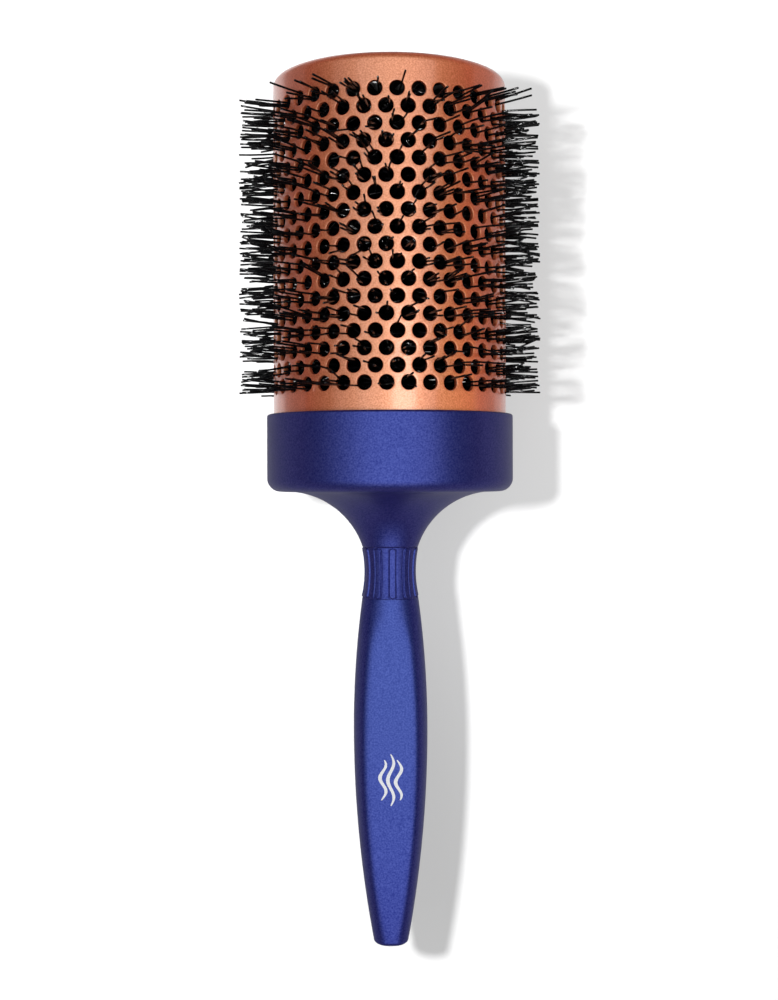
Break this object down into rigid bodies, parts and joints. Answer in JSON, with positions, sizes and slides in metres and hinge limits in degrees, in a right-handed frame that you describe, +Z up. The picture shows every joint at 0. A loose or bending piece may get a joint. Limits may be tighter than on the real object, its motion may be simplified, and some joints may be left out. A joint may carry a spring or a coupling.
{
  "type": "round barrel brush",
  "caption": "Round thermal hair brush: perforated metal barrel with nylon bristles through its holes, cup-shaped collar, ribbed neck ring and tapered handle.",
  "frame": {"origin": "under the middle of the brush's length, on the surface that the lowest bristle tips rest on", "axes": "+Y along the brush towards the barrel's rim, +Z up through the flat front of the handle, +X to the right seen from above with the barrel away"},
  "size_m": [0.0826, 0.2358, 0.0826],
  "materials": {
    "copper_coat": "satin",
    "black_plastic": "satin",
    "core_steel": "satin",
    "bright_steel": "polished",
    "insulator_plastic": "matte",
    "collar_paint": "satin",
    "ring_paint": "satin",
    "handle_paint": "satin",
    "stem_alloy": "satin",
    "bristle_nylon": "gloss"
  },
  "bodies": {
    "root": {"barrel": "copper_coat", "end_cap": "black_plastic", "core_wire_a": "core_steel", "core_wire_b": "core_steel", "tip_ferrule": "bright_steel", "base_ferrule": "bright_steel", "bristle_row_01": "bristle_nylon", "bristle_row_02": "bristle_nylon", "bristle_row_03": "bristle_nylon", "bristle_row_04": "bristle_nylon", "bristle_row_05": "bristle_nylon", "bristle_row_06": "bristle_nylon", "bristle_row_07": "bristle_nylon", "bristle_row_08": "bristle_nylon", "bristle_row_09": "bristle_nylon", "bristle_row_10": "bristle_nylon", "bristle_row_11": "bristle_nylon", "bristle_row_12": "bristle_nylon", "bristle_row_13": "bristle_nylon", "bristle_row_14": "bristle_nylon", "bristle_row_15": "bristle_nylon", "bristle_row_16": "bristle_nylon", "bristle_row_17": "bristle_nylon", "bristle_row_18": "bristle_nylon", "base_plug": "insulator_plastic", "base_screws": "bright_steel", "collar_cup": "collar_paint", "grip_ring": "ring_paint", "stem_tube": "stem_alloy", "stem_socket": "insulator_plastic", "handle_grip": "handle_paint"}
  },
  "joints": []
}
